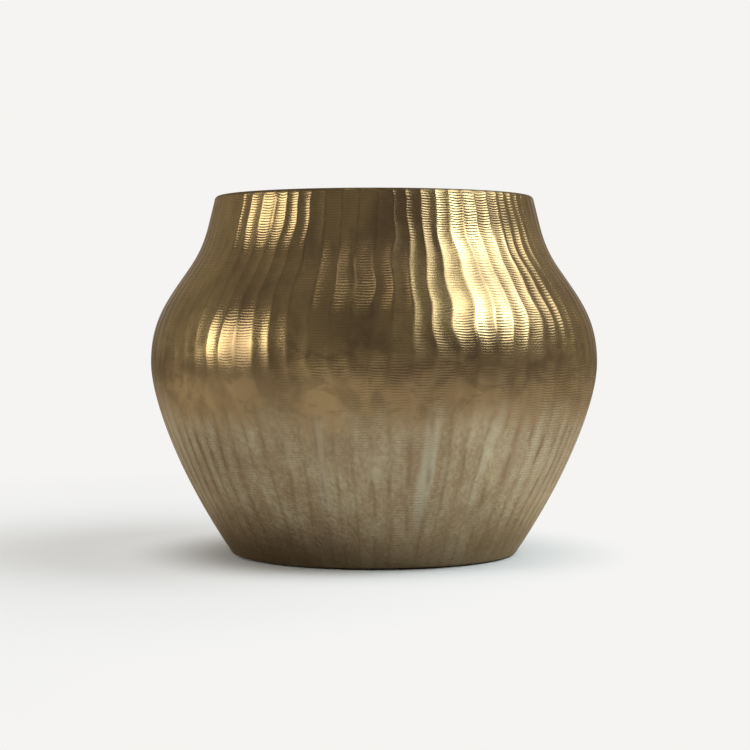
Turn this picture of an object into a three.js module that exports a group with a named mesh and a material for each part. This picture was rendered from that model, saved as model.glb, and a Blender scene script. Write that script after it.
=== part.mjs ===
// Hammered metal vase, in millimetres, +Z up, standing on its pads at z = 0.
// Two raised sheet-metal bodies are lapped and brazed at the belly. The rim is rolled inwards
// over a wire. The bottom is a flat disc, brazed in on a flange that the lower body turns in.
import * as THREE from "three";
import { toCreasedNormals } from "three/addons/utils/BufferGeometryUtils.js";

// Sheet and fits
const sheet = 1.2;
const seamGap = 0.3; // between the lapped bodies, and between their meeting edges
const brazeGap = 0.2; // between brazing metal and what it holds
const plateGap = 0.15; // between the disc and the flange under it
const glueGap = 0.1; // between the disc and each pad

// Outline of the sheet's outer face: radius, and height above the metal's lowest face
const footRadius = 89.5; // where the wall's line meets the floor line
const footLean = 34; // degrees out from upright
const footBend = 2; // radius of the bend into the flange
const bellyRadius = 140;
const bellyHeight = 119.5;
const shoulderRadius = 119.5; // where the curve turns from bulging to hollow
const shoulderHeight = 173;
const shoulderLean = 35; // degrees in from upright
const lipRadius = 104; // the lip is straight from here up to the rim
const lipHeight = 205;
const lipLean = 14; // degrees in from upright
const rimHeight = 223;

// Pull of each curve towards its end tangents, as a share of the curve's chord
const footPull = 0.42;
const bellyPullDown = 0.2;
const bellyPullUp = 0.43;
const shoulderPullDown = 0.35;
const shoulderPullUp = 0.3;
const lipPull = 0.47;

// Rim rolled over its wire
const wireRadius = 1.3;
const wireGap = 0.3;
const rollRadius = wireRadius + wireGap + sheet;
const rollTurn = 290; // degrees that the sheet turns round the wire
const rollFacets = 6;
const wireSides = 6;

// Lap seam at the belly
const skirtDepth = 7;
const seamHeight = bellyHeight;

// Flange, disc and pads
const padProud = 0.8; // from the pads' lower faces up to the metal's lowest face
const plateEase = 0.84; // from the disc's edge out to where the flange starts to bend
const plateLap = 13.6; // how far the flange reaches in under the disc
const plateThickness = 1.5;
const padCount = 4;
const padRadius = 9;
const padEase = 5; // from each pad out to the flange's inner edge
const padSides = 20;

// Brazing fillets
const bellyFillet = 3.2;
const baseFillet = 3.4;
const baseFilletSpread = 5.4;

// Hammered flutes: each has one column of vertices on its ridge and one in its valley
const fluteCount = 72;
const fluteDepth = 0.8;
const fluteColumns = 2;
const flutesBottom = 8; // height where the flutes start
const flutesFull = 30; // height where they have their whole depth
const flutesFade = 213.5; // height where they start to fade at the lip
const flutesTop = 217; // height where they end, just under the roll

// Waves that lead the ridges astray: hammered by eye, they are never quite straight or even.
// Each has a size in radians, a count round the vase, a rise for one radian, and a start.
const strayWaves = [
  { size: 0.016, count: 3, rise: 47, start: 0.6 },
  { size: 0.011, count: 8, rise: -36, start: 2.1 },
  { size: 0.007, count: 19, rise: 29, start: 4.4 },
  { size: 0.005, count: 27, rise: -23, start: 1.3 },
];

// Rows of vertices up each curve, as shares of it: closer where it bends more
const wallRows = [0.24, 0.45, 0.65, 0.83];
const shoulderRows = [0.22, 0.47, 0.74, 1];
const neckRows = [0.62, 1];

const creaseAngle = 25; // degrees between facets that keep a sharp edge

const degrees = Math.PI / 180;

// A direction in the section, leaning outwards from upright by an angle in degrees
function leaning(angle) {
  return new THREE.Vector2(Math.sin(angle * degrees), Math.cos(angle * degrees));
}

function along(point, direction, distance) {
  return point.clone().addScaledVector(direction, distance);
}

// A curve between two points of the outline, tangent to a direction at each end
function bulge(start, startLean, startPull, end, endLean, endPull) {
  const chord = start.distanceTo(end);
  return new THREE.CubicBezierCurve(
    start,
    along(start, leaning(startLean), startPull * chord),
    along(end, leaning(endLean), -endPull * chord),
    end,
  );
}

// The point of a rising curve at a height
function atHeight(curve, height) {
  let low = 0;
  let high = 1;
  while (high - low > 1e-7) {
    const middle = (low + high) / 2;
    if (curve.getPoint(middle).y < height) low = middle;
    else high = middle;
  }
  return curve.getPoint(low);
}

const foot = new THREE.Vector2(footRadius, 0);
const belly = new THREE.Vector2(bellyRadius, bellyHeight);
const shoulder = new THREE.Vector2(shoulderRadius, shoulderHeight);
const lip = new THREE.Vector2(lipRadius, lipHeight);

// The bend at the foot takes up the same length of the floor line and of the wall's line
const bendReach = footBend / Math.tan(((90 + footLean) / 2) * degrees);
const wallStart = along(foot, leaning(footLean), bendReach);
const lowerWall = bulge(wallStart, footLean, footPull, belly, 0, bellyPullDown);
const upperWall = bulge(belly, 0, bellyPullUp, shoulder, -shoulderLean, shoulderPullDown);
const neck = bulge(shoulder, -shoulderLean, shoulderPullUp, lip, -lipLean, lipPull);

// The line of a sheet's inner face, on the left of the line of its outer face
function innerLine(line) {
  return line.map((point, i) => {
    const before = line[Math.max(i - 1, 0)];
    const after = line[Math.min(i + 1, line.length - 1)];
    const into = point.clone().sub(i > 0 ? before : point).normalize();
    const out = after.clone().sub(point).normalize();
    const first = i > 0 ? into : out;
    const second = i < line.length - 1 ? out : into;
    const mean = first.clone().add(second).normalize();
    const spread = sheet / mean.dot(first);
    return new THREE.Vector2(point.x - mean.y * spread, point.y + mean.x * spread);
  });
}

// The closed section of a sheet of even thickness
function sheetLoop(line) {
  return [...line, ...innerLine(line).reverse(), line[0].clone()];
}

// The radius of a rising line at a height
function radiusAt(line, height) {
  const next = line.findIndex((point) => point.y > height);
  const above = line[next];
  const below = line[next - 1];
  return THREE.MathUtils.mapLinear(height, below.y, above.y, below.x, above.x);
}

// How far the ridges stray from even spacing, in radians
function stray(angle, height) {
  let total = 0;
  for (const { size, count, rise, start } of strayWaves) {
    total += size * Math.sin(count * angle + height / rise + start);
  }
  return total;
}

// How deep the flutes are at a height, from 0 to 1
function strength(height) {
  const rising = THREE.MathUtils.smoothstep(height, flutesBottom, flutesFull);
  const falling = 1 - THREE.MathUtils.smoothstep(height, flutesFade, flutesTop);
  return rising * falling;
}

// Sweeps a closed section round the vase, and pulls the valleys' columns in to make the flutes.
// Where there are no flutes the valleys' columns lie on the ridges, and their facets vanish.
function fluted(section) {
  const columns = fluteCount * fluteColumns;
  const geometry = new THREE.LatheGeometry(section, columns);
  const position = geometry.attributes.position;
  for (let i = 0; i < position.count; i += 1) {
    const column = Math.floor(i / section.length) % columns;
    const point = section[i % section.length];
    const deep = strength(point.y);
    const flute = deep > 0 ? column / fluteColumns : Math.round(column / fluteColumns);
    const even = (flute / fluteCount) * 2 * Math.PI;
    const angle = even + stray(even, point.y) * deep;
    const inset = column % fluteColumns === 0 ? 0 : fluteDepth * deep;
    const radius = point.x - inset;
    position.setXYZ(i, radius * Math.cos(angle), radius * Math.sin(angle), point.y);
  }
  return geometry;
}

// Sweeps a plain section with one facet for each flute
function turned(section) {
  return new THREE.LatheGeometry(section, fluteCount).rotateX(Math.PI / 2);
}

function metal(color, roughness) {
  return new THREE.MeshStandardMaterial({ color, roughness, metalness: 1 });
}

const brass = metal(0x9a8457, 0.34);
const brazing = metal(0xa98f5a, 0.5);
const iron = metal(0x6f6c68, 0.45);
const rubber = new THREE.MeshStandardMaterial({ color: 0x2e2b28, roughness: 0.9, metalness: 0 });

const group = new THREE.Group();
group.name = "metal_vase";

function add(name, geometry, material) {
  const creased = toCreasedNormals(geometry, creaseAngle * degrees);
  const mesh = new THREE.Mesh(creased, material.clone());
  mesh.name = name;
  mesh.position.z = padProud;
  group.add(mesh);
  return mesh;
}

// Lower body: flange, bend, wall, and an edge that stops just under the belly line
const bendCentre = new THREE.Vector2(footRadius - bendReach, footBend);
const bendMiddle = along(bendCentre, leaning(90 + (footLean + 90) / 2), footBend);
const plateRadius = bendCentre.x - plateEase;
const flangeRadius = plateRadius - plateLap;
const edgeHeight = seamHeight - seamGap / 2;
const lowerLine = [
  new THREE.Vector2(flangeRadius, 0),
  new THREE.Vector2(bendCentre.x, 0),
  bendMiddle,
  wallStart,
];
lowerLine.push(atHeight(lowerWall, flutesBottom - sheet));
lowerLine.push(...wallRows.map((share) => lowerWall.getPoint(share)));
lowerLine.push(atHeight(lowerWall, edgeHeight));
add("lower_shell", fluted(sheetLoop(lowerLine)), brass);
const insideLower = innerLine(lowerLine);

// Upper body: skirt, step, wall, neck, straight lip, and the roll round the wire
const skirtBottom = seamHeight - skirtDepth;
const stepHeight = seamHeight + seamGap / 2;
const upperLine = [
  new THREE.Vector2(radiusAt(insideLower, skirtBottom) - seamGap, skirtBottom),
  new THREE.Vector2(bellyRadius - sheet - seamGap, stepHeight),
  new THREE.Vector2(bellyRadius, stepHeight),
];
upperLine.push(...shoulderRows.map((share) => upperWall.getPoint(share)));
upperLine.push(...neckRows.map((share) => neck.getPoint(share)));
const lipUp = leaning(-lipLean);
const fadeRow = along(lip, lipUp, (flutesFade - lipHeight) / lipUp.y);
const plainRow = along(lip, lipUp, (flutesTop + sheet - lipHeight) / lipUp.y);
upperLine.push(fadeRow, plainRow);

// The roll touches the lip's line, and its top is the rim's height
const lipOut = leaning(90 - lipLean);
const rollCentreHeight = rimHeight - rollRadius;
const touchHeight = rollCentreHeight + rollRadius * lipOut.y;
const rollTouch = along(lip, lipUp, (touchHeight - lipHeight) / lipUp.y);
const rollCentre = along(rollTouch, lipOut, -rollRadius);
const facetTurn = rollTurn / rollFacets;
const cornerRadius = rollRadius / Math.cos((facetTurn / 2) * degrees); // facets touch the true circle
for (let facet = 0; facet < rollFacets; facet += 1) {
  const lean = 90 - lipLean - facetTurn * (facet + 0.5);
  upperLine.push(along(rollCentre, leaning(lean), cornerRadius));
}
upperLine.push(along(rollCentre, leaning(90 - lipLean - rollTurn), rollRadius));
add("upper_shell", fluted(sheetLoop(upperLine)), brass);

// Wire in the roll
const wireSection = [];
for (let side = 0; side <= wireSides; side += 1) {
  wireSection.push(along(rollCentre, leaning((-360 * side) / wireSides), wireRadius));
}
add("rim_wire", turned(wireSection), iron);

// Brazing metal under the skirt, against the valleys of the lower body's inner face
const filletTop = skirtBottom - brazeGap;
const toeHeight = filletTop - bellyFillet;
const valleyGap = fluteDepth + brazeGap;
const filletBack = radiusAt(insideLower, filletTop) - valleyGap;
const bellyBraze = [
  new THREE.Vector2(filletBack, filletTop),
  new THREE.Vector2(filletBack - sheet, filletTop),
  new THREE.Vector2(radiusAt(insideLower, toeHeight) - valleyGap, toeHeight),
  new THREE.Vector2(filletBack, filletTop),
];
add("belly_braze", turned(bellyBraze), brazing);

// Disc on the flange
const plateBottom = sheet + plateGap;
const plateTop = plateBottom + plateThickness;
const plate = [
  new THREE.Vector2(0, plateBottom),
  new THREE.Vector2(plateRadius, plateBottom),
  new THREE.Vector2(plateRadius, plateTop),
  new THREE.Vector2(0, plateTop),
];
add("base_plate", turned(plate), brass);

// Brazing metal in the corner of disc and wall
const brazeFloor = plateTop + brazeGap;
const brazeCrest = brazeFloor + baseFillet;
const wallGap = brazeGap / Math.cos(footLean * degrees);
const cornerOut = radiusAt(insideLower, brazeFloor) - wallGap;
const crestOut = radiusAt(insideLower, brazeCrest) - wallGap;
const baseBraze = [
  new THREE.Vector2(cornerOut - baseFilletSpread, brazeFloor),
  new THREE.Vector2(cornerOut, brazeFloor),
  new THREE.Vector2(crestOut, brazeCrest),
  new THREE.Vector2(cornerOut - baseFilletSpread / 4, brazeFloor + baseFillet / 4),
  new THREE.Vector2(cornerOut - baseFilletSpread, brazeFloor),
];
add("base_braze", turned(baseBraze), brazing);

// Pads under the disc, inside the flange
const padBottom = -padProud;
const padTop = plateBottom - glueGap;
const padCentre = flangeRadius - padEase - padRadius;
for (let pad = 0; pad < padCount; pad += 1) {
  const shape = new THREE.CylinderGeometry(padRadius, padRadius, padTop - padBottom, padSides);
  shape.rotateX(Math.PI / 2);
  const mesh = add(`foot_pad_${pad + 1}`, shape, rubber);
  const angle = (pad / padCount) * 2 * Math.PI;
  mesh.position.x = padCentre * Math.cos(angle);
  mesh.position.y = padCentre * Math.sin(angle);
  mesh.position.z += (padTop + padBottom) / 2;
}

export default group;
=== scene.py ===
import math

import bpy
import numpy as np
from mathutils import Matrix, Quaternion, Vector


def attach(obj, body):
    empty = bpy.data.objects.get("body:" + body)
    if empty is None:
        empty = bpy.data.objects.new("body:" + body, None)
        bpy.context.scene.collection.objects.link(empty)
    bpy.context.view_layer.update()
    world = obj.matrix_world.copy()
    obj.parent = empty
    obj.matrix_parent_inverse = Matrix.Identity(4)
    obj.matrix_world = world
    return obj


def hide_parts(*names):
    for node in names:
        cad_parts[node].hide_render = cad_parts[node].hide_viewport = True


# Hammered metal vase: two fluted bodies meeting at the belly, a rim rolled over a wire,
# a disc brazed in as the bottom, and four small pads. Lengths are in mm until a piece is made.
mm = 0.001
tau = 2 * math.pi

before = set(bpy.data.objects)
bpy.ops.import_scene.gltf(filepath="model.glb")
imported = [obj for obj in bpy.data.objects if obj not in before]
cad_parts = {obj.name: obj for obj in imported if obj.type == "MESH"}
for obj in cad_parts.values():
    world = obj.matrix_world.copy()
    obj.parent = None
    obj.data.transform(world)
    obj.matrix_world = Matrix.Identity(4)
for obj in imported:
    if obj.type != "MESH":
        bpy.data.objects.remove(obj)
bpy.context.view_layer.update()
print("frame loaded")

outline = {
    "sheet": 1.2,
    "padProud": 0.8,  # the metal's lowest face above the floor
    "footRadius": 89.5, "footLean": 34, "footBend": 2, "footSteps": 5,
    "bellyRadius": 140, "bellyHeight": 119.5,
    "shoulderRadius": 119.5, "shoulderHeight": 173, "shoulderLean": 35,
    "lipRadius": 104, "lipHeight": 205, "lipLean": 14,
    "rimHeight": 223,
    "footPull": 0.42, "bellyPullDown": 0.2, "bellyPullUp": 0.43,
    "shoulderPullDown": 0.35, "shoulderPullUp": 0.3, "lipPull": 0.47,
    "rollRadius": 2.8, "rollTurn": 290, "rollSteps": 18,
    "plateEase": 0.84, "plateLap": 13.6, "flangeStep": 3.6,
    "seam": 0.01,  # half of the hair line between the bodies
    "sharp": 32,  # degrees from which an edge stays sharp
    "skirt": 7, "skirtGap": 0.3, "skirtTaper": 0.35, "skirtStep": 2.4,  # the step inside the lower body
}

flutes = {
    "count": 72,
    "columns": 8,  # columns of faces in each flute
    "depth": 0.6,  # at the belly; less where the vase is narrower
    "beaten": 0.12,  # how far the whole fluted wall is beaten in
    "lowerExtra": 0.5, "lowerFade": (50, 115),  # below the belly the flutes are this share deeper
    "flatter": 0.38, "flatterSide": math.radians(232),  # on this side of the belly they are flatter
    "flatterSpread": 4, "flatterFade": (155, 180),
    "bottom": 8, "full": 30,  # the flutes begin and reach full depth at these heights
    "ends": [(216.5, 1), (219.3, 0.6), (220.2, 0.28), (221.2, 0.26), (222.9, 0)],  # height, share
    "rollInside": 2.3,  # out from the roll's centre to where its lower inner side ends
    "straight": 215,  # above it the ridges run straight up
    "ridgeRound": 0.3,  # share of a round wave in the flute's hollow section
    "rowStep": 2.4,  # between rows of vertices up the wall
    # size in radians, count round the vase, rise for one radian, start
    "stray": [
        (0.016, 3, 47, 0.6), (0.009, 9, -36, 2.04), (0.003, 19, 29, 4.4), (0.002, 27, -23, 1.3),
        (0.003, 9, 10, 0.5), (0.002, 14, -13, 3.3), (0.001, 22, 7, 5.2),
    ],
    # short wiggles of the ridges, strongest on two sides and above the belly: the same four numbers
    "wiggle": [(0.0046, 5, 4.9, 0.9), (0.0032, 9, -3.9, 2.2), (0.0024, 13, 6.8, 4.0)],
    "wiggleSide": math.radians(290),
    "calmSide": 0.3, "calmBelow": 0.35, "calmFade": (70, 150),  # shares of the wiggle elsewhere
    "dents": [(0.03, 9, 11, 0), (0.03, 14, -17, 2.3)],  # the same four numbers, the size in mm
    "sway": (0.05, 2.4, 15),  # of a hollow's middle: size, shift from flute to flute, rise for one radian
    "uneven": [(0.07, 4.7, 21), (0.05, 7.9, -12)], "evenShare": 0.98,  # of the depth: the same three numbers
    "mapLength": 300,  # length up the wall that the map's height stands for
}


def leaning(angle):
    return Vector((math.sin(math.radians(angle)), math.cos(math.radians(angle))))


# points of a curve between two outline points, evenly spaced along it
def bulge(start, startLean, startPull, end, endLean, endPull, step):
    chord = (end - start).length
    a = start + leaning(startLean) * startPull * chord
    b = end - leaning(endLean) * endPull * chord
    fine = []
    pieces = 400
    for i in range(pieces + 1):
        t = i / pieces
        fine.append(start * (1 - t) ** 3 + a * 3 * t * (1 - t) ** 2 + b * 3 * t * t * (1 - t) + end * t ** 3)
    return evenly(fine, step)


def evenly(fine, step):
    reach = [0.0]
    for before, after in zip(fine, fine[1:]):
        reach.append(reach[-1] + (after - before).length)
    rows = max(1, round(reach[-1] / step))
    wanted = np.linspace(0, reach[-1], rows + 1)
    x = np.interp(wanted, reach, [p.x for p in fine])
    y = np.interp(wanted, reach, [p.y for p in fine])
    return [Vector(p) for p in zip(x, y)]


def arc(centre, radius, firstLean, lastLean, steps):
    leans = [firstLean + (lastLean - firstLean) * i / steps for i in range(steps + 1)]
    return [centre + leaning(lean) * radius for lean in leans]


def joined(*lines):
    whole = []
    for line in lines:
        for point in line:
            if not whole or (point - whole[-1]).length > 0.01:
                whole.append(point)
    return whole


# draws a section as a chain of vertices and spins it round the vase's axis
def spun(name, line, columns):
    bpy.ops.object.select_all(action="DESELECT")
    bpy.ops.mesh.primitive_plane_add(size=0.01, location=(0, 0, 0))
    piece = bpy.context.object
    piece.name = name
    piece.data.name = name
    bpy.ops.object.mode_set(mode="EDIT")
    bpy.ops.mesh.select_all(action="SELECT")
    bpy.ops.mesh.merge(type="CENTER")
    lift = outline["padProud"]
    bpy.ops.transform.translate(value=(line[0].x * mm, 0, (line[0].y + lift) * mm))
    for before, after in zip(line, line[1:]):
        step = ((after.x - before.x) * mm, 0, (after.y - before.y) * mm)
        bpy.ops.mesh.extrude_region_move(TRANSFORM_OT_translate={"value": step})
    bpy.ops.mesh.select_all(action="SELECT")
    bpy.ops.mesh.spin(steps=columns, angle=tau, center=(0, 0, 0), axis=(0, 0, 1))
    bpy.ops.mesh.select_all(action="SELECT")
    bpy.ops.mesh.remove_doubles(threshold=2e-6)
    bpy.ops.mesh.normals_make_consistent(inside=False)
    bpy.ops.object.mode_set(mode="OBJECT")
    return piece


def places(piece):
    co = np.zeros(len(piece.data.vertices) * 3)
    piece.data.vertices.foreach_get("co", co)
    return co.reshape(-1, 3)


def placed(piece, co):
    piece.data.vertices.foreach_set("co", co.ravel())
    piece.data.update()


def chosen(piece):
    bpy.ops.object.select_all(action="DESELECT")
    piece.select_set(True)
    bpy.context.view_layer.objects.active = piece


def applied(piece, kind, **settings):
    chosen(piece)
    modifier = piece.modifiers.new(kind.title(), kind)
    for key, value in settings.items():
        setattr(modifier, key, value)
    bpy.ops.object.modifier_apply(modifier=modifier.name)


def smoothed(piece, degrees):
    chosen(piece)
    bpy.ops.object.shade_smooth_by_angle(angle=math.radians(degrees))


def smoothStep(x, low, high):
    t = np.clip((x - low) / (high - low), 0, 1)
    return t * t * (3 - 2 * t)


def waves(which, angle, height):
    return sum(size * np.sin(count * angle + height / rise + start)
               for size, count, rise, start in flutes[which])


def strayed(angle, height):
    calmSide, calmBelow = flutes["calmSide"], flutes["calmBelow"]
    side = calmSide + (1 - calmSide) * np.cos(angle - flutes["wiggleSide"]) ** 2
    side = side * (calmBelow + (1 - calmBelow) * smoothStep(height, *flutes["calmFade"]))
    return waves("stray", angle, height) + side * waves("wiggle", angle, height)


# how deep the flutes are, from 0 to 1; they run out over the roll, and its inner side has none
def strength(height, radius):
    ends = np.array(flutes["ends"])
    deep = smoothStep(height, flutes["bottom"], flutes["full"]) * np.interp(height, ends[:, 0], ends[:, 1])
    below = (radius < rollCentre.x + flutes["rollInside"]) & (height < rollCentre.y)
    rolledIn = (radius < rollCentre.x) | below
    return np.where(rolledIn & (height > flutes["straight"]), 0, deep)


# turns the columns astray and sinks the flutes' hollows; gives each vertex's first radius, height and column
def fluted(piece):
    co = places(piece) / mm
    first = np.hypot(co[:, 0], co[:, 1])
    height = co[:, 2] - outline["padProud"]
    columns = flutes["count"] * flutes["columns"]
    column = np.round(np.arctan2(co[:, 1], co[:, 0]) / tau * columns).astype(int) % columns
    flute = column // flutes["columns"]
    across = column / flutes["columns"] - flute - 0.5  # -0.5 on one ridge, 0.5 on the next
    even = column / columns * tau
    turned = strayed(even, np.minimum(height, flutes["straight"]))
    angle = even + turned * smoothStep(height, flutes["bottom"], flutes["full"])

    size, shift, rise = flutes["sway"]
    x = 2 * (across + size * np.sin(height / rise + flute * shift) * (1 - (2 * across) ** 2))
    bowl = (1 - flutes["ridgeRound"]) * (1 - x ** 2) + flutes["ridgeRound"] * 0.5 * (1 + np.cos(math.pi * x))
    uneven = sum((size * np.sin(flute * shift + height / rise) for size, shift, rise in flutes["uneven"]),
                 flutes["evenShare"])
    depth = flutes["depth"] * first / outline["bellyRadius"]
    depth = depth * (1 + flutes["lowerExtra"] * (1 - smoothStep(height, *flutes["lowerFade"])))
    flat = np.maximum(0, np.cos(even - flutes["flatterSide"])) ** flutes["flatterSpread"]
    flat = flat * (1 - smoothStep(height, *flutes["flatterFade"]))
    depth = depth * (1 - flutes["flatter"] * flat)
    inset = depth * uneven * bowl - waves("dents", even, height) + flutes["beaten"]
    radius = first - inset * strength(height, first)
    co[:, 0], co[:, 1] = radius * np.cos(angle), radius * np.sin(angle)
    placed(piece, co * mm)
    return first, height, column


# flutes a body and maps its wall: share of the way round, length up the wall
def hammered(piece, line):
    radius, height, column = fluted(piece)
    columns = flutes["count"] * flutes["columns"]
    spots = np.array([(p.x, p.y) for p in line])
    row = np.array([np.argmin((spots[:, 0] - r) ** 2 + (spots[:, 1] - h) ** 2)
                    for r, h in zip(radius, height)])
    reach = np.concatenate([[0], np.cumsum(np.hypot(*np.diff(spots, axis=0).T))])
    mesh = piece.data
    layer = mesh.uv_layers.new(name="fluteMap")
    corner = np.zeros(len(mesh.loops), int)
    mesh.loops.foreach_get("vertex_index", corner)
    face = np.repeat(np.arange(len(mesh.polygons)), [p.loop_total for p in mesh.polygons])
    u = column[corner] / columns
    widest = np.zeros(len(mesh.polygons))
    np.maximum.at(widest, face, u)
    u = np.where((widest[face] > 0.75) & (u < 0.25), u + 1, u)  # the faces that close the ring
    v = reach[row[corner]] / flutes["mapLength"]
    layer.uv.foreach_set("vector", np.stack([u, v], 1).astype(np.float32).ravel())


foot = Vector((outline["footRadius"], 0))
belly = Vector((outline["bellyRadius"], outline["bellyHeight"]))
shoulder = Vector((outline["shoulderRadius"], outline["shoulderHeight"]))
lip = Vector((outline["lipRadius"], outline["lipHeight"]))
footLean, shoulderLean, lipLean = outline["footLean"], -outline["shoulderLean"], -outline["lipLean"]
bendReach = outline["footBend"] / math.tan(math.radians((90 + footLean) / 2))
wallStart = foot + leaning(footLean) * bendReach
bendCentre = Vector((outline["footRadius"] - bendReach, outline["footBend"]))
plateRadius = bendCentre.x - outline["plateEase"]
flangeRadius = plateRadius - outline["plateLap"]
seam = outline["seam"]
step = flutes["rowStep"]

lowerLine = joined(
    evenly([Vector((flangeRadius, 0)), Vector((bendCentre.x, 0))], outline["flangeStep"]),
    arc(bendCentre, outline["footBend"], 180, 90 + footLean, outline["footSteps"]),
    bulge(wallStart, footLean, outline["footPull"], belly, 0, outline["bellyPullDown"], step),
)
lowerLine[-1].y -= seam

rollRadius = outline["rollRadius"]
lipUp = leaning(lipLean)
lipOut = leaning(90 + lipLean)
touchHeight = outline["rimHeight"] - rollRadius + rollRadius * lipOut.y
rollTouch = lip + lipUp * ((touchHeight - outline["lipHeight"]) / lipUp.y)
rollCentre = rollTouch - lipOut * rollRadius
skirtTop = Vector((outline["bellyRadius"] - outline["sheet"] - outline["skirtGap"],
                   outline["bellyHeight"] + seam))
skirtBottom = Vector((skirtTop.x - outline["skirtTaper"], outline["bellyHeight"] - outline["skirt"]))
rollLean = 90 + lipLean
upperLine = joined(
    evenly([skirtBottom, skirtTop], outline["skirtStep"]),
    [Vector((outline["bellyRadius"], outline["bellyHeight"] + seam))],
    bulge(belly, 0, outline["bellyPullUp"], shoulder, shoulderLean, outline["shoulderPullDown"], step)[1:],
    bulge(shoulder, shoulderLean, outline["shoulderPullUp"], lip, lipLean, outline["lipPull"], step),
    evenly([lip, rollTouch], step),
    arc(rollCentre, rollRadius, rollLean, rollLean - outline["rollTurn"], outline["rollSteps"]),
)

columns = flutes["count"] * flutes["columns"]
bodies = {}
for name, line in (("hammered_lower_body", lowerLine), ("hammered_upper_body", upperLine)):
    body = spun(name, line, columns)
    hammered(body, line)
    applied(body, "SOLIDIFY", thickness=outline["sheet"] * mm, offset=-1, use_even_offset=True, use_rim=True,
            material_offset=1)
    smoothed(body, outline["sharp"])
    bodies[name] = body
    print(name, "made,", len(body.data.vertices), "vertices")


# radius of the lower body's inner face at the ridges
def innerRadius(height):
    inside = []
    for before, at, after in zip(lowerLine, lowerLine[1:], lowerLine[2:]):
        along = (after - before).normalized()
        inside.append((at.y + along.x * outline["sheet"], at.x - along.y * outline["sheet"]))
    wall = sorted(spot for spot in inside if spot[0] > outline["sheet"])
    return float(np.interp(height, [spot[0] for spot in wall], [spot[1] for spot in wall]))


disc = {
    "bottom": 1.35, "thickness": 1.5, "ease": 0.3, "ring": 5.5, "columns": 180, "underRow": 40,
    "dent": 0.07, "dentSize": (4.1, 4.6), "dentStray": (7, 9), "swell": (0.6, 11, 13), "sharp": 40,
}
discTop = disc["bottom"] + disc["thickness"]
discEdge = plateRadius - disc["ease"]
discLine = [
    Vector((0, disc["bottom"])), Vector((disc["underRow"], disc["bottom"])),
    Vector((discEdge, disc["bottom"])), Vector((plateRadius, disc["bottom"] + disc["ease"])),
    Vector((plateRadius, discTop - disc["ease"])),
] + evenly([Vector((discEdge, discTop)), Vector((0, discTop))], disc["ring"])
bottomDisc = spun("bottom_disc", discLine, disc["columns"])
co = places(bottomDisc)
x, y = co[:, 0] / mm, co[:, 1] / mm
sizeX, sizeY = disc["dentSize"]
strayX, strayY = disc["dentStray"]
swell, swellX, swellY = disc["swell"]
dent = np.sin(x / sizeX + np.sin(y / strayX)) * np.sin(y / sizeY + np.sin(x / strayY))
dent = dent + swell * np.sin(x / swellX - y / swellY)
top = (co[:, 2] / mm > discTop + outline["padProud"] - 0.01) & (np.hypot(x, y) < plateRadius - 1)
co[:, 2] += np.where(top, disc["dent"] * (dent - 1) * mm, 0)
placed(bottomDisc, co)
smoothed(bottomDisc, disc["sharp"])

brazed = {
    "spread": 5.6, "rise": 3.5, "hollow": 0.3, "steps": 6, "columns": 300, "wallGap": 0.03, "discGap": 0.02,
    "flow": [(0.07, 5, 1), (0.05, 17, 0), (0.03, 41, 2)],  # share of the spread, count round the vase, start
    "bellyRise": 3.3, "bellySpread": 1.6, "bellySwell": 0.5, "bellySteps": 5, "bellyGap": 0.05,
    "sharp": 50,
}


# a hollow fillet of brazing metal between a floor and the wall, as a closed section
def filletLine(floor):
    corner = Vector((innerRadius(floor) - brazed["wallGap"], floor))
    crest = Vector((innerRadius(floor + brazed["rise"]) - brazed["wallGap"], floor + brazed["rise"]))
    toe = Vector((corner.x - brazed["spread"], floor))
    face = []
    for i in range(brazed["steps"] + 1):
        t = i / brazed["steps"]
        sag = brazed["hollow"] * 4 * t * (1 - t)
        face.append(crest.lerp(toe, t).lerp(corner, sag))
    return [toe, corner] + face


floorHeight = discTop + brazed["discGap"]
baseBraze = spun("base_brazing", filletLine(floorHeight), brazed["columns"])
co = places(baseBraze) / mm
angle, radius = np.arctan2(co[:, 1], co[:, 0]), np.hypot(co[:, 0], co[:, 1])
corner = innerRadius(floorHeight)
flow = sum((size * np.sin(count * angle + start) for size, count, start in brazed["flow"]), 1)
radius = np.where(radius < corner - 0.1, corner - (corner - radius) * flow, radius)
co[:, 0], co[:, 1] = radius * np.cos(angle), radius * np.sin(angle)
placed(baseBraze, co * mm)
smoothed(baseBraze, brazed["sharp"])

filletTop = outline["bellyHeight"] - outline["skirt"] - brazed["bellyGap"]
levels = (filletTop, filletTop - brazed["bellyRise"])
back = [Vector((innerRadius(level) - brazed["bellyGap"], level)) for level in levels]
toe = Vector((back[0].x - brazed["bellySpread"], filletTop))
lobe = []
for i in range(1, brazed["bellySteps"] + 1):
    t = i / brazed["bellySteps"]
    lobe.append(back[1].lerp(toe, t) + Vector((brazed["bellySwell"] * t * (1 - t), 0)))
bellyBraze = spun("belly_brazing", back + lobe + [back[0].copy()], columns)
fluted(bellyBraze)
smoothed(bellyBraze, brazed["sharp"])

wire = {"radius": 1.3, "columns": 240, "sides": 14, "sharp": 60}
section = [rollCentre + leaning(-360 * i / wire["sides"]) * wire["radius"] for i in range(wire["sides"] + 1)]
rimWire = spun("rim_wire_round", section, wire["columns"])
smoothed(rimWire, wire["sharp"])

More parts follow.
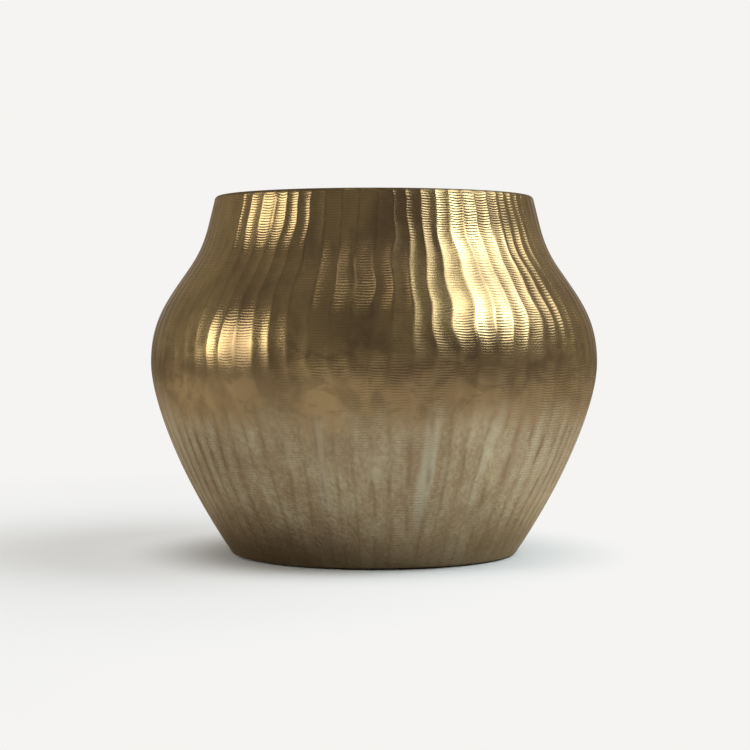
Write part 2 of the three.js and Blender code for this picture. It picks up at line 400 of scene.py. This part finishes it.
pad = {"radius": 8.95, "count": 4, "centre": 60.0, "sides": 56, "round": 0.45, "gap": 0.1, "sharp": 35}
bpy.ops.object.select_all(action="DESELECT")
padTop = outline["padProud"] + disc["bottom"] - pad["gap"]
bpy.ops.mesh.primitive_cylinder_add(vertices=pad["sides"], radius=pad["radius"] * mm, depth=padTop * mm,
                                    location=(0, 0, padTop / 2 * mm))
onePad = bpy.context.object
applied(onePad, "BEVEL", width=pad["round"] * mm, segments=3, limit_method="ANGLE")
pads = []
for number in range(pad["count"]):
    piece = onePad.copy()
    piece.data = onePad.data.copy()
    piece.name = f"foot_pad_round_{number + 1}"
    bpy.context.scene.collection.objects.link(piece)
    turn = tau * number / pad["count"]
    piece.location.x += pad["centre"] * mm * math.cos(turn)
    piece.location.y += pad["centre"] * mm * math.sin(turn)
    chosen(piece)
    bpy.ops.object.transform_apply(location=True, rotation=True, scale=True)
    smoothed(piece, pad["sharp"])
    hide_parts(f"foot_pad_{number + 1}")
    pads.append(piece)
bpy.data.objects.remove(onePad)
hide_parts("base_plate")
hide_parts("base_braze")
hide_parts("belly_braze")
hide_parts("rim_wire")
print("bottom, brazing, wire and pads made")

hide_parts("lower_shell")
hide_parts("upper_shell")


def added(tree, kind, inputs=None, **settings):
    node = tree.nodes.new(kind)
    for key, value in settings.items():
        setattr(node, key, value)
    for key, value in (inputs or {}).items():
        if isinstance(value, bpy.types.NodeSocket):
            tree.links.new(value, node.inputs[key])
        else:
            node.inputs[key].default_value = value
    return node


def calc(tree, operation, a, b=0.0, c=0.0):
    return added(tree, "ShaderNodeMath", {0: a, 1: b, 2: c}, operation=operation).outputs[0]


def times(tree, first, *others):
    for other in others:
        first = calc(tree, "MULTIPLY", first, other)
    return first


def plus(tree, first, *others):
    for other in others:
        first = calc(tree, "ADD", first, other)
    return first


def ramped(tree, value, low, high, bottom=0.0, top=1.0, curve="SMOOTHSTEP"):
    node = added(tree, "ShaderNodeMapRange", {"Value": value, "From Min": low, "From Max": high,
                                              "To Min": bottom, "To Max": top}, interpolation_type=curve)
    return node.outputs["Result"]


def noisy(tree, vector, scale, detail=2.0, roughness=0.5, distortion=0.0):
    node = added(tree, "ShaderNodeTexNoise", {"Vector": vector, "Scale": scale, "Detail": detail,
                                              "Roughness": roughness, "Distortion": distortion})
    return node.outputs["Fac"]


def mixColour(tree, share, first, second):
    node = tree.nodes.new("ShaderNodeMix")
    node.data_type = "RGBA"
    for socket, value in ((node.inputs[0], share), (node.inputs[6], first), (node.inputs[7], second)):
        if isinstance(value, bpy.types.NodeSocket):
            tree.links.new(value, socket)
        else:
            socket.default_value = value
    return node.outputs[2]


# an amount round a centre, fading out to a radius
def near(tree, place, centre, radius, amount):
    away = added(tree, "ShaderNodeVectorMath", {0: place, 1: centre}, operation="DISTANCE").outputs["Value"]
    return ramped(tree, away, radius * 0.35, radius, amount, 0.0)


def objectPlace(tree):
    return added(tree, "ShaderNodeTexCoord").outputs["Object"]


# heights count by a share, which draws a pattern out or flattens it
def stretched(tree, place, share):
    return added(tree, "ShaderNodeMapping", {"Vector": place, "Scale": (1.0, 1.0, share)}).outputs[0]


def bumped(tree, shader, relief):
    bump = added(tree, "ShaderNodeBump", {"Strength": 1.0, "Distance": mm, "Height": relief})
    tree.links.new(bump.outputs[0], shader.inputs["Normal"])


def blank(name):
    material = bpy.data.materials.new(name)
    material.use_nodes = True
    tree = material.node_tree
    tree.nodes.clear()
    shader = added(tree, "ShaderNodeBsdfPrincipled")
    added(tree, "ShaderNodeOutputMaterial", {"Surface": shader.outputs[0]})
    return material, tree, shader


# below, a fade is: from, to, the value at each; a noise is: scale, detail, roughness, distortion;
# heights and places are in metres, depths in mm
brass = {
    # the wall's length counts this much in patterns drawn out down the wall
    "drawn": 0.8, "drawnOut": 0.5, "wrinkle": (0.36, 3.0, 0.55, 0.2),
    # the grime colour darkens grime and also paints shade at the foot and on the marks' crests; the shade
    # colour paints shade along the ridges; the pale colour paints highlight and reflection below the belly
    "bright": (0.42, 0.288, 0.13, 1), "brown": (0.235, 0.155, 0.079, 1), "grey": (0.425, 0.368, 0.236, 1),
    "low": (0.283, 0.209, 0.12, 1), "grimeAndPaintedShade": (0.10, 0.064, 0.035, 1), "edge": (0.8, 0.7, 0.58, 1),
    "pale": (0.43, 0.39, 0.28, 1), "shade": (0.15, 0.105, 0.06, 1),
    "raggedness": 0.012,  # how far the borders between the tones wander up and down
    "meeting": (0.074, 0.101),  # from the leathery skin to the golden one
    # painted shade: browner and darker towards the foot, deeper on the left, for the floor's contact shadow
    # that the metal mirrors
    "footShadeBrown": (0.006, 0.04, 0.42, 0.0),
    "footShade": (0.002, 0.042, 0.6, 0.0), "footShadeSide": (-0.07, 0.03, 1.12, 0.4),
    # darker along the rim's top
    # painted shade: thin dark lines along the marks' crests
    "rimDarkening": (0.2212, 0.223, 0.0, 0.6), "crestShade": 0.6,
    "satin": (0.118, 0.14, 0.31, 0.18),  # roughness below the belly and above it
    "dull": (23.0, 3.0), "dullFade": (0.3, 0.7, 0.0, 0.1), "rimDull": (0.2205, 0.2225, 0.0, 0.12),
    "insideBrown": 0.45, "insideDull": 0.12,
}


# what the brass reads: the flute and the rise from its map, the place and the height from the object
def wallPlaces(tree):
    uv = added(tree, "ShaderNodeUVMap", uv_map="fluteMap").outputs["UV"]
    split = added(tree, "ShaderNodeSeparateXYZ", {0: uv})
    place = objectPlace(tree)
    parted = added(tree, "ShaderNodeSeparateXYZ", {0: place})
    flute = times(tree, split.outputs[0], flutes["count"])
    rise = times(tree, split.outputs[1], flutes["mapLength"])
    across = calc(tree, "SUBTRACT", calc(tree, "FRACT", flute), 0.5)
    girth = times(tree, flute, tau * outline["bellyRadius"] / flutes["count"])
    drawn = added(tree, "ShaderNodeCombineXYZ", {0: girth, 1: times(tree, rise, brass["drawn"])}).outputs[0]
    drawnOut = stretched(tree, place, brass["drawnOut"])
    return {
        "place": place, "sideways": parted.outputs[0], "height": parted.outputs[2],
        "flute": flute, "rise": rise, "across": across, "aside": calc(tree, "ABSOLUTE", across),
        "number": calc(tree, "FLOOR", flute),
        "drawn": drawn, "drawnOut": drawnOut, "wrinkle": noisy(tree, drawn, *brass["wrinkle"]),
    }


marks = {
    "pitch": 1.52, "closest": 0.93, "widest": 1.08,  # between the marks, and its spread from flute to flute
    "depth": 0.1, "insideShare": 0.35,
    "smile": -1.6, "waver": 1.6, "waverNoise": (0.9, 1.0), "waverRise": 0.12,  # a mark's straying from level
    "start": 7.0,  # spread of the first mark's place from flute to flute
    "ends": 4.5,  # the higher, the squarer a mark ends at the ridges
    "force": (0, 1, 0.82, 1.0, "LINEAR"),
    "patch": (14.0, 2.0), "patchFade": (0.32, 0.6, 0.7, 1.0),
    "spot": (24.0, 2.0), "spotFade": (0.47, 0.62, 0.08, 0.8),  # below the belly they show in spots
    "rightSide": (0.06, 0.095, 0.0, 0.9), "rightAbove": (0.035, 0.055),  # and finely on the right
    "belly": (0.108, 0.13),
    "neckFrom": (0.14, 0.165, 0, 0.15), "neckTo": (0.188, 0.208, 1, 0),  # deeper on the neck
    "rimEnd": (0.2218, 0.2232, 1.0, 0.0),
    "calm": ((-0.085, -0.108, 0.138), 0.075, 0.35),  # shallower here: centre, radius, share
}


# the hammer's cross marks: a ladder of shallow scoops up each flute, each flute with its own start;
# gives their depth and where their crests stand
def crossMarks(tree, at, outside):
    across, height, place = at["across"], at["height"], at["place"]
    luck = added(tree, "ShaderNodeTexWhiteNoise", {"W": at["number"]}, noise_dimensions="1D").outputs["Value"]
    climb = times(tree, at["rise"], marks["waverRise"])
    wall = added(tree, "ShaderNodeCombineXYZ", {0: at["flute"], 1: climb}).outputs[0]
    waver = times(tree, calc(tree, "SUBTRACT", noisy(tree, wall, *marks["waverNoise"]), 0.5), marks["waver"])
    smile = times(tree, across, across, marks["smile"])
    fewest, most = 1 / (marks["pitch"] * marks["widest"]), 1 / (marks["pitch"] * marks["closest"])
    strikes = calc(tree, "MULTIPLY_ADD", height, 1 / mm, plus(tree, smile, waver))
    strikes = times(tree, strikes, ramped(tree, luck, 0, 1, fewest, most, "LINEAR"))
    strikes = plus(tree, strikes, times(tree, luck, marks["start"]))
    scoop = calc(tree, "SUBTRACT", calc(tree, "FRACT", strikes), 0.5)
    scoop = calc(tree, "SUBTRACT", times(tree, scoop, scoop, 4.0), 1.0)  # -1 in a mark's middle, 0 between
    mark = added(tree, "ShaderNodeCombineXYZ", {0: at["number"], 1: calc(tree, "FLOOR", strikes)}).outputs[0]
    force = added(tree, "ShaderNodeTexWhiteNoise", {"Vector": mark}, noise_dimensions="2D").outputs["Value"]
    force = ramped(tree, force, *marks["force"])
    wide = calc(tree, "SUBTRACT", 1.0, calc(tree, "POWER", times(tree, at["aside"], 2.0), marks["ends"]))

    spots = ramped(tree, noisy(tree, place, *marks["spot"]), *marks["spotFade"])
    finer = times(tree, ramped(tree, at["sideways"], *marks["rightSide"]),
                  ramped(tree, height, *marks["rightAbove"]))
    spots = calc(tree, "MAXIMUM", spots, finer)
    patchy = ramped(tree, noisy(tree, place, *marks["patch"]), *marks["patchFade"])
    neck = times(tree, ramped(tree, height, *marks["neckFrom"]), ramped(tree, height, *marks["neckTo"]))
    worked = times(tree, patchy, ramped(tree, height, *marks["belly"], spots, 1.0), plus(tree, neck, 1.0),
                   ramped(tree, height, *marks["rimEnd"]),
                   calc(tree, "SUBTRACT", 1.0, near(tree, place, *marks["calm"])))
    worked = times(tree, wide, worked)
    depth = marks["depth"] if outside else marks["depth"] * marks["insideShare"]
    return times(tree, scoop, force, worked, depth), times(tree, ramped(tree, scoop, -0.5, 0.0), worked)


# planished hollows and, below the belly, a leathery skin drawn out down the wall
skin = {
    "wrinkleFade": (0.072, 0.104, 0.75, 0.06),
    "grain": (900.0, 2.0), "grainDepth": 0.004,
    "dimple": (46.0, 1.5, 0.5, 0.2), "dimpleFade": (0.122, 0.15, 2.0, 0.1),
    "rollFrom": (0.2176, 0.2214, 0, 0.55), "rollTo": (0.2228, 0.2238, 1, 0),
}


def wallRelief(tree, at):
    height = at["height"]
    wrinkles = times(tree, at["wrinkle"], ramped(tree, height, *skin["wrinkleFade"]))
    grain = times(tree, noisy(tree, at["place"], *skin["grain"]), skin["grainDepth"])
    dimples = times(tree, noisy(tree, at["drawnOut"], *skin["dimple"]),
                    ramped(tree, height, *skin["dimpleFade"]))
    # the flutes' hollows carried on where the sheet bends into the roll
    wide = times(tree, at["across"], 2.0)
    bowl = calc(tree, "SUBTRACT", 1.0, times(tree, wide, wide))
    ending = times(tree, ramped(tree, height, *skin["rollFrom"]), ramped(tree, height, *skin["rollTo"]))
    rimDepth = flutes["depth"] * outline["lipRadius"] / outline["bellyRadius"]
    return plus(tree, wrinkles, grain, dimples, times(tree, bowl, ending, -rimDepth))


patina = {
    "cloud": (30.0, 5.0, 0.62, 0.25), "cloudFade": (0.36, 0.68, 0.0, 0.85),
    "beltHeight": 0.106, "beltFade": (0.011, 0.034, 0.76, 0.0),
    "smoke": (44.0, 3.0, 0.5, 0.3), "smokeFade": (0.46, 0.62),
    "flattened": 1.7, "lyingSmoke": (66.0, 3.0, 0.55, 0.5), "lyingFade": (0.5, 0.62, 0.0, 0.75),
    "smokedFrom": (0.072, 0.1), "smokedTo": (0.128, 0.15, 1, 0.25), "smokeShare": 0.42,
    # painted shade along the ridges of the upper wall, by its place across the flute, its height and the
    # wrinkles
    "ridgeShade": (0.38, 0.5, 0, 0.4), "ridgeShadeAbove": (0.135, 0.16), "ridgeShadeWrinkle": (0.3, 0.6, 0.3, 1.0),
    # rubbed and darker places on the front: centre, radius, amount
    "rubbed": [((-0.022, -0.136, 0.117), 0.042, 0.3), ((-0.1, -0.095, 0.118), 0.042, 0.3)],
    "stains": [((-0.012, -0.1205, 0.158), 0.038, 0.3), ((-0.075, -0.09, 0.166), 0.04, 0.25),
               ((0.075, -0.118, 0.098), 0.06, 0.2)],
}


# brown patina in clouds and round the belt, brighter where it was rubbed, and painted shade along the ridges
# of the upper wall
def upperColour(tree, at, cloud):
    place, height = at["place"], at["height"]
    fromBelt = calc(tree, "ABSOLUTE", calc(tree, "SUBTRACT", height, patina["beltHeight"]))
    brown = calc(tree, "MAXIMUM", cloud, ramped(tree, fromBelt, *patina["beltFade"]))
    for rub in patina["rubbed"]:
        brown = calc(tree, "SUBTRACT", brown, near(tree, place, *rub))
    tone = mixColour(tree, brown, brass["bright"], brass["brown"])
    flat = stretched(tree, place, patina["flattened"])
    smoke = calc(tree, "MAXIMUM", ramped(tree, noisy(tree, place, *patina["smoke"]), *patina["smokeFade"]),
                 ramped(tree, noisy(tree, flat, *patina["lyingSmoke"]), *patina["lyingFade"]))
    smoked = times(tree, ramped(tree, height, *patina["smokedFrom"]),
                   ramped(tree, height, *patina["smokedTo"]))
    tone = mixColour(tree, times(tree, smoke, smoked, patina["smokeShare"]), tone, brass["grimeAndPaintedShade"])
    # painted shade along the ridges above the belly
    ridgeShade = times(tree, ramped(tree, at["aside"], *patina["ridgeShade"]),
                   ramped(tree, height, *patina["ridgeShadeAbove"]),
                   ramped(tree, at["wrinkle"], *patina["ridgeShadeWrinkle"]))
    tone = mixColour(tree, ridgeShade, tone, brass["shade"])
    for stain in patina["stains"]:
        tone = mixColour(tree, near(tree, place, *stain), tone, brass["grimeAndPaintedShade"])
    return tone


leather = {
    "streak": (0.75, 2.0, 0.5, 0.2), "streakRise": 0.02, "streakFade": (0.36, 0.74, 0.0, 0.46, "LINEAR"),
    "wrinkleFade": (0.36, 0.66, -0.16, 0.2, "LINEAR"),
    "cloud": (75.0, 3.0, 0.6), "cloudFade": (0.36, 0.64, -0.18, 0.32, "LINEAR"),
    "pore": (240.0, 4.0, 0.7, 0.3), "poreFade": (0.32, 0.68, -0.16, 0.16, "LINEAR"),
    "paleReflectionRuns": [(56.75, 0.3, 0.72), (50.9, 0.18, 0.3), (60.2, 0.2, 0.3)],  # pale runs of painted reflection: flute, half width, amount
    "runHeight": 0.04, "slant": 7,  # where a run crosses its flute, and its slant in flutes for one metre
    "runWander": 0.2, "runEdge": 0.3, "runAbove": (0.012, 0.05),
    "sides": (0.06, 0.11),  # the painted shade and highlight on the ribs grow toward both sides
    # painted shade toward the ridges and painted highlight in the hollows' middles
    "creaseShade": (0.55, 1.0), "creaseNoise": (0.06, 2.0), "creaseFade": (0.38, 0.62, 0.12, 0.45),
    "creaseExtra": 0.75,
    "crownHighlight": (0.08, 0.3, 0.42, 0.0), "crownNoise": (52.0, 2.0), "crownFade": (0.36, 0.62, 0.35, 1.15),
}


# greyer streaks below the belly, with pale runs of painted reflection, painted shade along the ridges and
# painted highlight in the hollows' middles
def lowerColour(tree, at):
    height, wrinkle = at["height"], at["wrinkle"]
    climb = times(tree, at["rise"], leather["streakRise"])
    streak = added(tree, "ShaderNodeCombineXYZ", {0: at["flute"], 1: climb}).outputs[0]
    streaks = plus(tree, ramped(tree, noisy(tree, streak, *leather["streak"]), *leather["streakFade"]),
                   ramped(tree, wrinkle, *leather["wrinkleFade"]),
                   ramped(tree, noisy(tree, at["drawnOut"], *leather["cloud"]), *leather["cloudFade"]),
                   ramped(tree, noisy(tree, at["place"], *leather["pore"]), *leather["poreFade"]))
    tone = mixColour(tree, streaks, brass["low"], brass["grey"])
    # pale runs painted where the floor's reflection would show
    for centre, halfWidth, amount in leather["paleReflectionRuns"]:
        above = calc(tree, "SUBTRACT", height, leather["runHeight"])
        middle = calc(tree, "MULTIPLY_ADD", above, leather["slant"], centre)
        away = calc(tree, "ABSOLUTE", calc(tree, "SUBTRACT", at["flute"], middle))
        away = plus(tree, away, times(tree, wrinkle, leather["runWander"]))
        run = ramped(tree, away, halfWidth, halfWidth + leather["runEdge"], amount, 0)
        run = times(tree, run, ramped(tree, height, *leather["runAbove"]))
        tone = mixColour(tree, run, tone, brass["pale"])
    side = ramped(tree, calc(tree, "ABSOLUTE", at["sideways"]), *leather["sides"])
    # painted shade toward the ridges, stronger toward both sides
    creaseShade = times(tree, ramped(tree, times(tree, at["aside"], 2.0), *leather["creaseShade"]),
                   ramped(tree, noisy(tree, at["drawn"], *leather["creaseNoise"]), *leather["creaseFade"]),
                   calc(tree, "MULTIPLY_ADD", side, leather["creaseExtra"], 1.0))
    tone = mixColour(tree, creaseShade, tone, brass["shade"])
    # painted highlight in the hollows' middles, stronger toward both sides
    crownHighlight = times(tree, ramped(tree, at["aside"], *leather["crownHighlight"]), side,
                  ramped(tree, noisy(tree, at["drawnOut"], *leather["crownNoise"]), *leather["crownFade"]))
    return mixColour(tree, crownHighlight, tone, brass["pale"])


def hammeredBrass(name, outside):
    material, tree, shader = blank(name)
    at = wallPlaces(tree)
    height = at["height"]
    ladder, crest = crossMarks(tree, at, outside)
    bumped(tree, shader, plus(tree, ladder, wallRelief(tree, at)))

    cloud = ramped(tree, noisy(tree, at["drawnOut"], *patina["cloud"]), *patina["cloudFade"])
    ragged = plus(tree, height, times(tree, calc(tree, "SUBTRACT", cloud, 0.5), brass["raggedness"]))
    upper = upperColour(tree, at, cloud)
    tone = mixColour(tree, ramped(tree, ragged, *brass["meeting"]), lowerColour(tree, at), upper)
    # painted shade towards the foot, deeper on the left, for the mirrored contact shadow; the rim's top is
    # darker as well
    tone = mixColour(tree, ramped(tree, ragged, *brass["footShadeBrown"]), tone, brass["brown"])
    footShadeAndDarkRim = times(tree, ramped(tree, ragged, *brass["footShade"]),
                   ramped(tree, at["sideways"], *brass["footShadeSide"]))
    footShadeAndDarkRim = calc(tree, "MAXIMUM", footShadeAndDarkRim, ramped(tree, height, *brass["rimDarkening"]))
    tone = mixColour(tree, footShadeAndDarkRim, tone, brass["grimeAndPaintedShade"])
    # painted shade: thin dark lines along the marks' crests
    tone = mixColour(tree, times(tree, crest, brass["crestShade"]), tone, brass["grimeAndPaintedShade"])
    rough = plus(tree, ramped(tree, height, *brass["satin"]), ramped(tree, height, *brass["rimDull"]),
                 ramped(tree, noisy(tree, at["place"], *brass["dull"]), *brass["dullFade"]))
    if not outside:
        tone = mixColour(tree, brass["insideBrown"], tone, brass["brown"])
        rough = plus(tree, rough, brass["insideDull"])
    tree.links.new(tone, shader.inputs["Base Color"])
    tree.links.new(rough, shader.inputs["Roughness"])
    shader.inputs["Metallic"].default_value = 1.0
    shader.inputs["Specular Tint"].default_value = brass["edge"]
    return material


outerBrass = hammeredBrass("hammered antique brass", True)
innerBrass = hammeredBrass("inside of the hammered brass", False)
for body in bodies.values():
    body.data.materials.clear()
    body.data.materials.append(outerBrass)
    body.data.materials.append(innerBrass)
    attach(body, "root")
print("brass done")

# the small pieces: a stain's noise and fade, the colours and roughness without and with it, a grain
plainFinishes = {
    "planished disc brass": {
        "stain": (28.0, 5.0, 0.6, 0.5), "fade": (0.36, 0.66), "rough": (0.34, 0.52), "metallic": 1.0,
        "clean": (0.30, 0.205, 0.095, 1), "stained": (0.13, 0.086, 0.045, 1),
        "grain": (700.0, 2.0), "grainDepth": 0.02, "blows": (120.0, 0.8, 0.22),  # scale, randomness, depth
    },
    "brazing metal as run": {
        "stain": (160.0, 4.0, 0.6, 0.4), "fade": (0.4, 0.66), "rough": (0.36, 0.6), "metallic": 1.0,
        "clean": (0.40, 0.29, 0.14, 1), "stained": (0.25, 0.175, 0.09, 1),
        "grain": (300.0, 3.0), "grainDepth": 0.25,
    },
    "drawn iron wire": {
        "stain": (220.0, 4.0), "fade": (0.5, 0.7), "rough": (0.36, 0.75), "metallic": 1.0,
        "clean": (0.30, 0.285, 0.27, 1), "stained": (0.11, 0.06, 0.035, 1),
        "grain": (500.0, 2.0), "grainDepth": 0.03,
    },
    "pad rubber": {
        "stain": (300.0, 4.0), "fade": (0.35, 0.7), "rough": (0.7, 0.9), "metallic": 0.0,
        "clean": (0.028, 0.025, 0.023, 1), "stained": (0.06, 0.055, 0.05, 1),
        "grain": (1200.0, 2.0), "grainDepth": 0.06,
    },
}


def plainFinish(name):
    look = plainFinishes[name]
    material, tree, shader = blank(name)
    place = objectPlace(tree)
    relief = times(tree, noisy(tree, place, *look["grain"]), look["grainDepth"])
    if "blows" in look:
        scale, randomness, depth = look["blows"]
        inputs = {"Vector": place, "Scale": scale, "Randomness": randomness}
        blows = added(tree, "ShaderNodeTexVoronoi", inputs, feature="SMOOTH_F1").outputs["Distance"]
        relief = plus(tree, times(tree, blows, depth), relief)
    bumped(tree, shader, relief)
    stain = ramped(tree, noisy(tree, place, *look["stain"]), *look["fade"])
    tree.links.new(mixColour(tree, stain, look["clean"], look["stained"]), shader.inputs["Base Color"])
    tree.links.new(ramped(tree, stain, 0, 1, *look["rough"]), shader.inputs["Roughness"])
    shader.inputs["Metallic"].default_value = look["metallic"]
    return material


rubber, brazing = plainFinish("pad rubber"), plainFinish("brazing metal as run")
finishes = [
    (bottomDisc, plainFinish("planished disc brass"), "brass"), (baseBraze, brazing, "brazing"),
    (bellyBraze, brazing, "brazing"), (rimWire, plainFinish("drawn iron wire"), "iron_wire"),
] + [(piece, rubber, "pads") for piece in pads]
for piece, finish, slotName in finishes:
    piece.data.materials.clear()
    piece.data.materials.append(finish)
    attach(piece, "root")
print("small pieces finished")

# camera, as the photograph was taken
shot = {"place": (0.0, -1.2330, 0.15336), "aim": (0.0, 0.0, 0.11178), "lens": 93.81, "shiftX": 0.0012,
        "sensor": 36, "far": 40}
camera = bpy.data.objects.new("camera", bpy.data.cameras.new("camera"))
bpy.context.scene.collection.objects.link(camera)
camera.location = shot["place"]
drop = math.atan2(shot["place"][2] - shot["aim"][2], shot["aim"][1] - shot["place"][1])
camera.rotation_euler = (math.pi / 2 - drop, 0, 0)
camera.data.lens = shot["lens"]
camera.data.sensor_width = shot["sensor"]
camera.data.shift_x = shot["shiftX"]
camera.data.clip_end = shot["far"]
bpy.context.scene.camera = camera

studio = {
    "pale": (0.913, 0.904, 0.888, 1),  # the backdrop
    "floor": (0.88, 0.87, 0.85, 1), "floorSpot": (0.7, 0.7, 0.68, 1),
    "spot": (60.0, 2.0), "spotFade": (0.3, 0.7, 0.0, 0.03),
    "floorRadius": 0.8, "floorSides": 128, "floorDrop": 0.0001, "floorRough": 0.9, "floorGloss": 0.1,
    # the floor glows in the backdrop's colour, painting its shadow out away from the vase and sooner on the
    # right, where the metal mirrors this painted light
    "clearNear": (0.088, 0.165, 0.0, 0.62), "clearFar": (0.18, 0.44, 0.0, 0.4),
    "clearRight": (-0.2, 0.22, -0.14, 0.5), "rightFrom": (0.095, 0.2), "rightTo": (0.4, 0.75, 1.0, 0.0),
    # the room's light, from the camera's side to beside the vase
    "room": (-0.3, 0.45, 0.25, 0.42), "roomColour": (1.0, 0.99, 0.97, 1),
    "behind": (0.92, 1.0),
}


# 1 where the pale backdrop shows; in mirrors and through glass by a share
def backdropSeen(tree, share=1.0):
    seen = added(tree, "ShaderNodeLightPath")
    mirrored = calc(tree, "MAXIMUM", seen.outputs["Is Glossy Ray"], seen.outputs["Is Transmission Ray"])
    return calc(tree, "MAXIMUM", seen.outputs["Is Camera Ray"], times(tree, mirrored, share))


def floorPaint():
    material, tree, shader = blank("studio floor")
    place = objectPlace(tree)
    spots = ramped(tree, noisy(tree, place, *studio["spot"]), *studio["spotFade"])
    tree.links.new(mixColour(tree, spots, studio["floor"], studio["floorSpot"]), shader.inputs["Base Color"])
    shader.inputs["Roughness"].default_value = studio["floorRough"]
    shader.inputs["Specular IOR Level"].default_value = studio["floorGloss"]
    away = added(tree, "ShaderNodeVectorMath", {0: place}, operation="LENGTH").outputs["Value"]
    sideways = added(tree, "ShaderNodeSeparateXYZ", {0: place}).outputs[0]
    right = times(tree, ramped(tree, sideways, *studio["clearRight"]), ramped(tree, away, *studio["rightTo"]),
                  ramped(tree, away, *studio["rightFrom"]))
    share = plus(tree, ramped(tree, away, *studio["clearNear"]), ramped(tree, away, *studio["clearFar"]),
                 right)
    share = times(tree, calc(tree, "MINIMUM", share, 1.0), backdropSeen(tree))
    glow = added(tree, "ShaderNodeEmission", {"Color": studio["pale"], "Strength": 1.0})
    both = added(tree, "ShaderNodeMixShader", {0: share, 1: shader.outputs[0], 2: glow.outputs[0]})
    tree.links.new(both.outputs[0], tree.nodes["Material Output"].inputs["Surface"])
    return material


bpy.ops.object.select_all(action="DESELECT")
bpy.ops.mesh.primitive_circle_add(vertices=studio["floorSides"], radius=studio["floorRadius"],
                                  fill_type="NGON", location=(0, 0, -studio["floorDrop"]))
floor = bpy.context.object
floor.name = "floor"
floor.data.materials.append(floorPaint())

world = bpy.data.worlds.new("studio")
bpy.context.scene.world = world
world.use_nodes = True
tree = world.node_tree
tree.nodes.clear()
toward = added(tree, "ShaderNodeSeparateXYZ", {0: added(tree, "ShaderNodeTexCoord").outputs["Generated"]})
depth = toward.outputs[1]
shown = backdropSeen(tree, ramped(tree, depth, *studio["behind"]))  # the metal's edges mirror the backdrop
plain = added(tree, "ShaderNodeBackground", {"Color": studio["pale"], "Strength": 1.0})
room = ramped(tree, depth, *studio["room"])
dim = added(tree, "ShaderNodeBackground", {"Color": studio["roomColour"], "Strength": room})
both = added(tree, "ShaderNodeMixShader", {0: shown, 1: dim.outputs[0], 2: plain.outputs[0]})
added(tree, "ShaderNodeOutputWorld", {"Surface": both.outputs[0]})

daylight, leftLight, lamplight = (0.82, 0.94, 1.0), (0.95, 0.98, 0.93), (1.0, 0.985, 0.95)
# azimuth from the camera's side, elevation, distance, roll; width, height, radiance, colour
windows = {
    "right window": (79, 37.1, 1.8, -8, 2.14, 0.42, 4.6, daylight),
    "right window's upper light": (90, 52.5, 1.8, -8, 1.15, 0.6, 4.4, daylight),
    "right window's bright sky": (76, 38.2, 1.75, 34, 0.8, 0.38, 8.0, daylight),
    "left window": (-75, 17.8, 1.9, 0, 0.92, 0.64, 5.3, leftLight),
    "left window's lower light": (-75, 5.6, 1.9, 0, 0.86, 0.17, 2.2, leftLight),
}
# place, turn; width, height, radiance, colour
cards = {
    "white card on the floor": ((0.28, 0.02, 0.002), (math.pi, 0, 0), 0.32, 0.56, 0.34, daylight),
    "top glow": ((-0.22, -0.71, 2.1), (0, 0, 0), 0.6, 0.25, 2.1, lamplight),
}
aimedAt = Vector((0, 0, 0.13))  # the windows are turned to this point in the vase


def softBox(name, width, tall, radiance, colour):
    light = bpy.data.objects.new(name, bpy.data.lights.new(name, "AREA"))
    bpy.context.scene.collection.objects.link(light)
    light.data.shape = "RECTANGLE"
    light.data.size, light.data.size_y = width, tall
    light.data.energy = radiance * math.pi * width * tall
    light.data.color = colour
    light.visible_camera = False
    return light


for name, (azimuth, elevation, distance, roll, *box) in windows.items():
    light = softBox(name, *box)
    a, e = math.radians(azimuth), math.radians(elevation)
    out = Vector((math.sin(a) * math.cos(e), -math.cos(a) * math.cos(e), math.sin(e)))
    light.location = aimedAt + out * distance
    facing = out.to_track_quat("Z", "Y") @ Quaternion((0, 0, 1), math.radians(roll))
    light.rotation_euler = facing.to_euler()
for name, (place, turn, *box) in cards.items():
    light = softBox(name, *box)
    light.location, light.rotation_euler = place, turn

bpy.context.scene.view_settings.view_transform = "Standard"
print("studio done")
